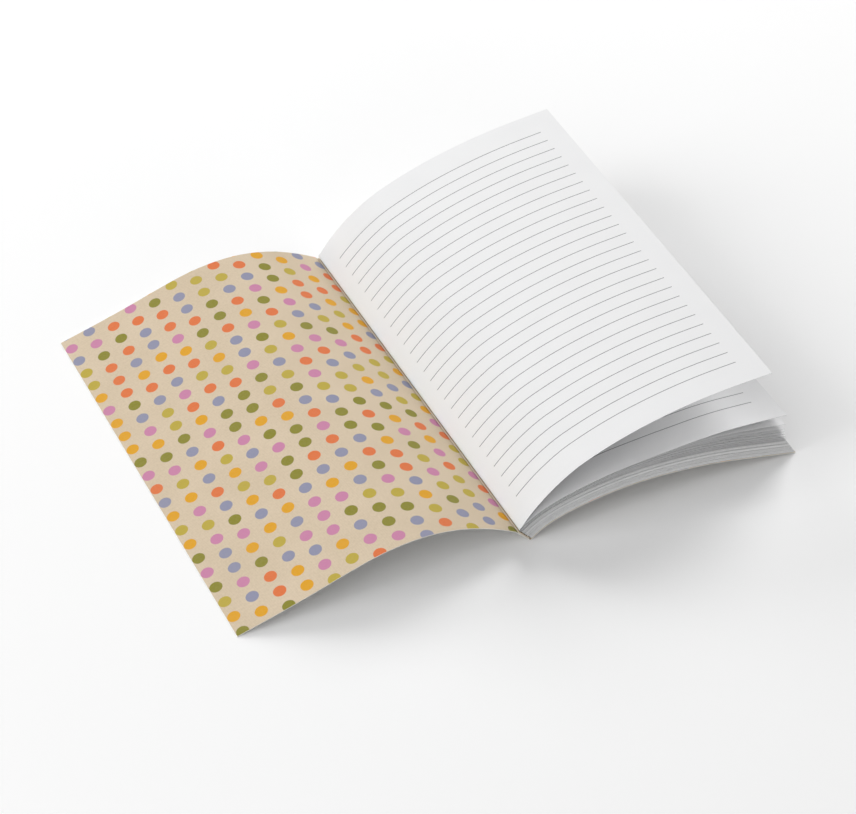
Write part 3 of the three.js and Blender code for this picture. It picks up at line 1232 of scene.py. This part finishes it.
def stitch_row_tree() -> Tree:
    """Lays straight runs of thread at even steps: a rod on each point of a line.

    Returns:
        The tree. Its inputs are the runs' count, places, course and radius.
    """
    made = Tree(
        "stitch_row",
        {
            "Count": ("NodeSocketInt", STOCK.stitches),
            "First": ("NodeSocketVector", (0.0, 0.0, 0.0)),
            "Step": ("NodeSocketVector", (0.0, 0.03, 0.0)),
            "Run": ("NodeSocketVector", (0.0, 0.0, 0.008)),
            "Radius": ("NodeSocketFloat", STOCK.thread / 2 * MM),
            "Material": ("NodeSocketMaterial", None),
        },
    )
    nodes, given = made.nodes, made.given
    row = {"Count": given["Count"], "Start Location": given["First"], "Offset": given["Step"]}
    places = nodes.add("GeometryNodeMeshLine", row, mode="OFFSET")
    line = nodes.add("GeometryNodeCurvePrimitiveLine", {"End": given["Run"]})
    round_thread = {"Resolution": 10, "Radius": given["Radius"]}
    ring = nodes.add("GeometryNodeCurvePrimitiveCircle", round_thread)
    sweep = {"Curve": line.outputs[0], "Profile Curve": ring.outputs[0], "Fill Caps": True}
    rod = nodes.add("GeometryNodeCurveToMesh", sweep)
    rods = {"Points": places.outputs[0], "Instance": rod.outputs[0]}
    made.finish(nodes.add("GeometryNodeInstanceOnPoints", rods).outputs[0])
    return made


# The notebook's sub-assemblies.


def joined(*lines: SheetLine) -> SheetLine:
    """One line made of several, end to end."""
    names = ("points", "stations", "paper")
    return SheetLine(*(np.concatenate([getattr(line, name) for line in lines]) for name in names))


@dataclass(frozen=True)
class LeafPart:
    """A part of a standing leaf, about one joint.

    It runs from its start to its end, or to the fore edge, by distance from the spine. It names its
    joint, that joint's line and the reach before and after it, and replaces one node.
    """

    name: str
    start: float
    end: float | None
    joint: str
    line: float
    before: float
    after: float
    node: str


PRESS, GUTTER, WIDTH = OPENING.press_line, OPENING.gutter_line, TRIM.width
PARTS = {
    1: (
        LeafPart("leaf_1_root", 1.5, 3.4, "leaf_1_press", PRESS, 0.4, 0.7, "leaf_1_gutter"),
        LeafPart("leaf_1_crease", 3.4, 19, "leaf_1_turn", GUTTER, 1.5, 2.5, "leaf_1_a"),
        LeafPart("leaf_1_inner", 19, 46.5, "leaf_1_flex_1", 0.25 * WIDTH, 12, 12, "leaf_1_b"),
        LeafPart("leaf_1_middle", 46.5, 75, "leaf_1_flex_2", 0.45 * WIDTH, 12, 12, "leaf_1_c"),
        LeafPart("leaf_1_outer", 75, None, "leaf_1_flex_3", 0.675 * WIDTH, 12, 12, "leaf_1_d"),
    ),
    2: (
        LeafPart("leaf_2_root", 3.4, 30, "leaf_2_lift", GUTTER, 1.5, 8, "leaf_2_inner"),
        LeafPart(
            "leaf_2_inner_bend", 30, 65, "leaf_2_press_1", BENDS[2][0].line, 8, 8, "leaf_2_middle"
        ),
        LeafPart(
            "leaf_2_outer_bend", 65, None, "leaf_2_press_2", BENDS[2][1].line, 8, 8, "leaf_2_outer"
        ),
    ),
    3: (
        LeafPart(
            "leaf_3_inner_bend", 50, 67, "leaf_3_press", BENDS[3][0].line, 7, 7, "leaf_3_middle"
        ),
        LeafPart("leaf_3_outer_bend", 67, None, "leaf_3_lift", 0.57 * WIDTH, 7, 7, "leaf_3_outer"),
    ),
    4: (
        LeafPart("leaf_4_bend", 52, None, "leaf_4_press", BENDS[4][0].line, 8, 8, "leaf_4_outer"),
    ),
}


@dataclass
class FirstSection:
    """Eight folded sheets nested in each other, whose first leaves stand up."""

    section: Section
    joints: Joints
    finishes: Finishes
    thickness: float = 0.1
    twisted_leaf: int = 1
    twist: float = 2.4
    twist_rows: int = 24

    def curl(self, paper: np.ndarray, y: np.ndarray) -> np.ndarray:
        """How far the first leaf's far corner rises and its near corner sinks."""
        return self.twist * y / (TRIM.height / 2) * (paper / TRIM.width) ** 2

    def folded(self, number: int) -> SheetLine:
        """A sheet's line: its lower leaf, its fold and the part of its upper leaf on it.

        Args:
            number: The number of the sheet, 1 outermost.

        Returns:
            The line, from the lower leaf's fore edge to the upper leaf.
        """
        upper = self.section.leaf_line(number)
        if number in PARTS:
            upper = upper.cut(STOCK.fold, PARTS[number][0].start)
        lower = self.section.leaf_line(STOCK.leaves + 1 - number).backwards()
        radius = self.section.root_height(number) - STOCK.first_middle
        arc = self.section.fold_arc(radius, STOCK.first_middle, STOCK.fold)
        flat = np.zeros(len(arc))
        return joined(lower, SheetLine(arc, flat, flat), upper)

    def build(self) -> None:
        """Builds the sheets and the parts of the standing leaves."""
        for number in range(1, STOCK.leaves // 2 + 1):
            sheet = Sheet(f"folded_sheet_{number}", self.folded(number), self.thickness)
            piece = sheet.build(self.materials())
            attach(piece, "block")
            self.finish(piece, f"sheet_{number}")
        for number, parts in PARTS.items():
            line = self.section.leaf_line(number)
            lift, rows = (self.curl, self.twist_rows) if number == self.twisted_leaf else (None, 1)
            for part in parts:
                cut = line.cut(part.start, part.end or line.stations[-1])
                sheet = Sheet(part.name, cut, self.thickness, rows=rows, lift=lift)
                piece = sheet.build(self.materials())
                bend = line.at(part.line - part.before), line.at(part.line + part.after)
                self.joints.bend(piece, part.joint, *bend)
                self.finish(piece, part.node)

    def materials(self) -> list[Material]:
        """The materials of a leaf's two faces and of its cut edges."""
        # The first section's pieces carry no random value, so their edges take the dark edge tone,
        # painted shade between the leaves.
        return [self.finishes.paper, self.finishes.paper, self.finishes.page_edge]

    def finish(self, piece: Object, node: str) -> None:
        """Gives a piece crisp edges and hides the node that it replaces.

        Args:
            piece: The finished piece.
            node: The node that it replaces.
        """
        cut_sharp(piece)
        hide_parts(node)
        LOG.info("built %s", piece.name)


@dataclass
class LowerSections:
    """Sections 2 to 5: eight nested sheets each, pressed flat.

    Each section can be squeezed about its middle, and its middle can sink, so that small gaps show
    between the sections.
    """

    section: Section
    finishes: Finishes
    thickness: float = 0.088
    step: float = 2.5
    fold_steps: int = 8
    seed: int = 7
    squeeze: tuple[float, ...] = (0.86, 0.95, 0.95, 0.97)
    sink: tuple[float, ...] = (0.09, 0.0, 0.0, 0.0)

    def outline(self, number: int, sheet: int) -> np.ndarray:
        """The middle line of one nested sheet of a section, from fore edge to fore edge.

        Args:
            number: The number of the section.
            sheet: The number of the sheet in it, 1 outermost.

        Returns:
            The points, as an array of rows (x, z).
        """
        bottom = (STOCK.sections - number) * (STOCK.section + STOCK.section_gap)
        radius = (STOCK.leaves / 2 - sheet + 0.5) * STOCK.leaf * self.squeeze[number - 2]
        middle, root = bottom + STOCK.section / 2 - self.sink[number - 2], STOCK.section / 2
        sides = []
        for height in (middle + radius, middle - radius):
            end = self.section.reach(self.section.stack, height)
            stations = even_steps(root, end, self.step)
            sides.append(self.section.in_stack(stations, height))
        arc = self.section.fold_arc(radius, middle, root, self.fold_steps)
        return np.concatenate([sides[1][::-1], arc, sides[0]])

    def build(self) -> None:
        """Draws every sheet's cross-section and runs them all from foot to head."""
        vertices, quads, start = [], [], 0
        for number in range(2, STOCK.sections + 1):
            for sheet in range(1, STOCK.leaves // 2 + 1):
                line = self.outline(number, sheet)
                normal = unit_normals(line) * self.thickness / 2
                n = len(line)
                foot = np.full(n, -TRIM.height / 2)
                for side in (line + normal, line - normal):
                    vertices.append(np.stack([side[:, 0], foot, side[:, 1]], axis=-1))
                i = np.arange(n - 1) + start
                quads.append(np.stack([i, i + 1, i + 1 + n, i + n], axis=-1))
                start += 2 * n
        mesh = bpy.data.meshes.new("cross_sections")
        points = (np.concatenate(vertices) * MM).tolist()
        mesh.from_pydata(points, [], np.concatenate(quads).tolist())
        base = in_scene("cross_sections", mesh)
        values = {"Seed": self.seed, "Material": self.finishes.page_edge}
        piece = nested_sheets_tree().run(base, "pressed_sections", **values)
        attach(piece, "block")
        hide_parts(*(f"section_{number}" for number in range(2, STOCK.sections + 1)))
        LOG.info("built %s", piece.name)


@dataclass
class Cover:
    """The wraparound card: front cover, spine and back cover, turned at its scores and cut into
    pieces about its flex lines.
    """

    section: Section
    joints: Joints
    finishes: Finishes
    corner: float = 0.6
    corner_steps: int = 8
    spine_points: int = 8
    step: float = 1.2
    score_reach: float = 1.4
    score_rise: float = 1.0
    score_start: float = 0.3
    flex_reach: float = 9.0
    flex: tuple[float, ...] = (0.17, 0.38, 0.62)

    def spine_run(self, high: float, low: float) -> SheetLine:
        """A stretch of the spine card between two heights, from the upper one down.

        Args:
            high: The upper height in the stack.
            low: The lower height.

        Returns:
            The line, with heights from the front score as stations.
        """
        heights = np.linspace(high, low, self.spine_points)
        points = self.section.in_stack(-STOCK.spine_card, heights)
        down = heights - STOCK.front_score
        return SheetLine(points, down, down)

    def back_line(self) -> SheetLine:
        """The line from the middle of the spine round the back score to the fore edge.

        Returns:
            The line, with the inside face to the left.
        """
        spine = self.spine_run(STOCK.front_score / 2, STOCK.back_card + self.corner)
        turns = np.radians(np.linspace(180, 270, self.corner_steps + 1)[1:-1])
        s = -STOCK.spine_card + self.corner * (1 + np.cos(turns))
        h = STOCK.back_card + self.corner * (1 + np.sin(turns))
        below = STOCK.back_card - STOCK.front_score
        level = np.full(len(s), below)
        turn = SheetLine(self.section.in_stack(s, h), level, level)
        end = self.section.reach(self.section.stack, STOCK.back_card)
        stations = even_steps(-STOCK.spine_card + self.corner, end, self.step)
        card = self.section.in_stack(stations, STOCK.back_card)
        return joined(spine, turn, SheetLine(card, stations, below - stations))

    def build(self) -> None:
        """Builds the card's pieces, each about one joint."""
        front, edge = self.section.cover_line(), -STOCK.spine_card
        flex = [share * TRIM.width for share in self.flex]
        middles = [(a + b) / 2 for a, b in zip([0.0, *flex], flex)]
        spine = self.spine_run(STOCK.front_score - self.score_start, STOCK.front_score / 2)
        first = joined(front.cut(self.score_start, middles[0]).backwards(), spine)
        bend = spine.points[1], front.at(self.score_reach)
        nodes = "cover_spine", "front_cover_1"
        self.piece("front_cover_root", first, "front_cover_hinge", bend, *nodes)
        for number, (start, line) in enumerate(zip(middles, flex), 1):
            end = middles[number] if number < len(middles) else TRIM.width
            bend = front.at(line - self.flex_reach), front.at(line + self.flex_reach)
            cut = front.cut(start, end).backwards()
            name, joint = f"front_cover_bend_{number}", f"front_cover_flex_{number}"
            self.piece(name, cut, joint, bend, f"front_cover_{number + 1}")
        above = self.section.in_stack(edge, STOCK.back_card + self.score_rise)[0]
        past = self.section.in_stack(edge + self.score_reach, STOCK.back_card)[0]
        back = self.back_line()
        self.piece("back_cover_card", back, "back_cover_hinge", (above, past), "back_cover")

    def piece(
        self,
        name: str,
        line: SheetLine,
        joint: str,
        bend: tuple[np.ndarray, np.ndarray],
        *nodes: str,
    ) -> None:
        """Builds one piece of the card, bakes its place and logs the joint that it lies at.

        Args:
            name: The name of the piece.
            line: Its middle line, with the inside face to the left.
            joint: The joint that it lies at.
            bend: Where the bend starts and ends, in section.
            nodes: The nodes that it replaces.
        """
        card = [self.finishes.card_inside, self.finishes.card_outside, self.finishes.card_core]
        piece = Sheet(name, line, STOCK.card).build(card)
        cut_sharp(piece)
        self.joints.bend(piece, joint, *bend)
        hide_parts(*nodes)


@dataclass
class SpineWork:
    """What holds the sections together: lining, adhesive, link stitches and the centre thread."""

    section: Section
    finishes: Finishes
    frame: dict
    runs: int = 7
    hole: float = 0.6

    def build(self) -> None:
        """Dresses the lining and the adhesive, and lays the threads."""
        glued = {"spine_lining": self.finishes.cloth, "spine_adhesive": self.finishes.glue}
        for node, material in glued.items():
            mesh = self.frame["nodes"][node].data
            mesh.materials.clear()
            mesh.materials.append(material)
        tree = stitch_row_tree()
        out = STOCK.glue_line + STOCK.thread_clearance + STOCK.thread / 2
        heights = np.array([STOCK.section / 2, STOCK.first_middle])
        ends = self.section.in_stack(-out, heights)
        across = ends[1] - ends[0]
        length = TRIM.height - 2 * STOCK.stitch_margin
        links = {
            "Count": STOCK.stitches,
            "First": (ends[0][0] * MM, -length / 2 * MM, ends[0][1] * MM),
            "Step": (0.0, length / (STOCK.stitches - 1) * MM, 0.0),
            "Run": (across[0] * MM, 0.0, across[1] * MM),
        }
        nodes = [f"link_stitch_{number + 1}" for number in range(STOCK.stitches)]
        self.row(tree, "link_stitches", nodes, links)
        centre = self.section.in_stack(STOCK.fold, STOCK.first_middle)[0]
        step = length / self.runs
        runs = {
            "Count": self.runs,
            "First": (centre[0] * MM, -length / 2 * MM, centre[1] * MM),
            "Step": (0.0, step * MM, 0.0),
            "Run": (0.0, (step - self.hole) * MM, 0.0),
        }
        self.row(tree, "centre_thread_runs", ["centre_thread"], runs)

    def row(self, tree: Tree, name: str, nodes: Sequence[str], values: dict[str, object]) -> None:
        """Lays a row of thread runs in place of its nodes.

        Args:
            tree: The tree that lays a row.
            name: The name of the piece.
            nodes: The nodes that it replaces.
            values: The tree's inputs, beside the material.
        """
        base = in_scene(name, bpy.data.meshes.new(name))
        piece = tree.run(base, name, Material=self.finishes.thread, **values)
        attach(piece, "block")
        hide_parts(*nodes)
        LOG.info("built %s", piece.name)


# The studio.


@dataclass(frozen=True)
class Lamp:
    """A soft square light aimed at the notebook, in metres and watts."""

    name: str
    place: tuple[float, float, float]
    size: float
    power: float


@dataclass
class Studio:
    """The plain pale floor, the soft lights and the camera. Lengths are metres."""

    camera_place: tuple[float, float, float] = (-0.42686, -0.90470, 0.84935)
    elevation: float = 40.53
    azimuth: float = 25.46
    focal_px: float = 2929.59
    width_px: int = 856
    sensor_mm: float = 36.0
    view: tuple[float, float] = (0.05, 30.0)
    floor_half: float = 6.0
    floor_drop: float = 0.02 * MM
    sky: float = 0.1
    lamps: tuple[Lamp, ...] = (
        Lamp("behind", (-0.54, 2.0, 1.0), 0.9, 14.0),
        Lamp("behind_right", (1.44, 1.28, 1.28), 1.28, 34.0),
        Lamp("left", (-1.92, 0.16, 1.28), 1.28, 20.0),
        Lamp("front_left", (-1.6, -0.96, 1.6), 1.92, 14.5),
        Lamp("front", (-0.64, -1.28, 2.08), 1.92, 7.0),
        Lamp("low_front", (-0.35, -1.85, 0.42), 0.8, 4.2),
    )

    def build(self) -> None:
        """Sets up the floor, the sky, the lamps and the camera."""
        bpy.context.scene.view_settings.view_transform = "Standard"
        self.floor()
        world = bpy.data.worlds.new("studio")
        bpy.context.scene.world = world
        world.use_nodes = True
        sky = world.node_tree.nodes["Background"]
        sky.inputs["Color"].default_value = (1.0, 1.0, 1.0, 1.0)
        sky.inputs["Strength"].default_value = self.sky
        for lamp in self.lamps:
            light = bpy.data.lights.new(lamp.name, "AREA")
            light.size, light.energy = lamp.size, lamp.power
            self.aim(in_scene(lamp.name, light), Vector(lamp.place), -Vector(lamp.place))
        self.camera()

    def aim(self, thing: Object, place: Vector, ahead: Vector) -> None:
        """Puts a lamp or a camera at a place and points it ahead."""
        thing.location = place
        thing.rotation_euler = ahead.to_track_quat("-Z", "Y").to_euler()

    def floor(self) -> None:
        """Lays the floor just under the notebook."""
        mesh = bpy.data.meshes.new("floor")
        half = self.floor_half
        square = [(-half, -half), (half, -half), (half, half), (-half, half)]
        mesh.from_pydata([(x, y, -self.floor_drop) for x, y in square], [], [(0, 1, 2, 3)])
        material, nodes, shader = new_material("floor", roughness=0.9)
        clouds = nodes.noise(nodes.room(), scale=4.0)
        colour = nodes.mix(clouds, paint(253, 253, 253), paint(254, 254, 254))
        nodes.link(colour, shader.inputs["Base Color"])
        mesh.materials.append(material)
        in_scene("floor", mesh)

    def camera(self) -> None:
        """Sets the camera at the photograph's place, looking the same way."""
        data = bpy.data.cameras.new("camera")
        data.sensor_fit, data.sensor_width = "HORIZONTAL", self.sensor_mm
        data.lens = self.focal_px / self.width_px * self.sensor_mm
        data.clip_start, data.clip_end = self.view
        camera = in_scene("camera", data)
        a, e = math.radians(self.azimuth), math.radians(self.elevation)
        ahead = Vector((math.sin(a) * math.cos(e), math.cos(a) * math.cos(e), -math.sin(e)))
        self.aim(camera, Vector(self.camera_place), ahead)
        bpy.context.scene.camera = camera


def main() -> None:
    """Builds the studio and the notebook."""
    logging.basicConfig(level=logging.INFO, format="%(message)s")
    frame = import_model()
    Studio().build()
    section, joints, finishes = Section(), Joints(frame), Finishes()
    Cover(section, joints, finishes).build()
    SpineWork(section, finishes, frame).build()
    LowerSections(section, finishes).build()
    FirstSection(section, joints, finishes).build()


if __name__ == "__main__":
    main()
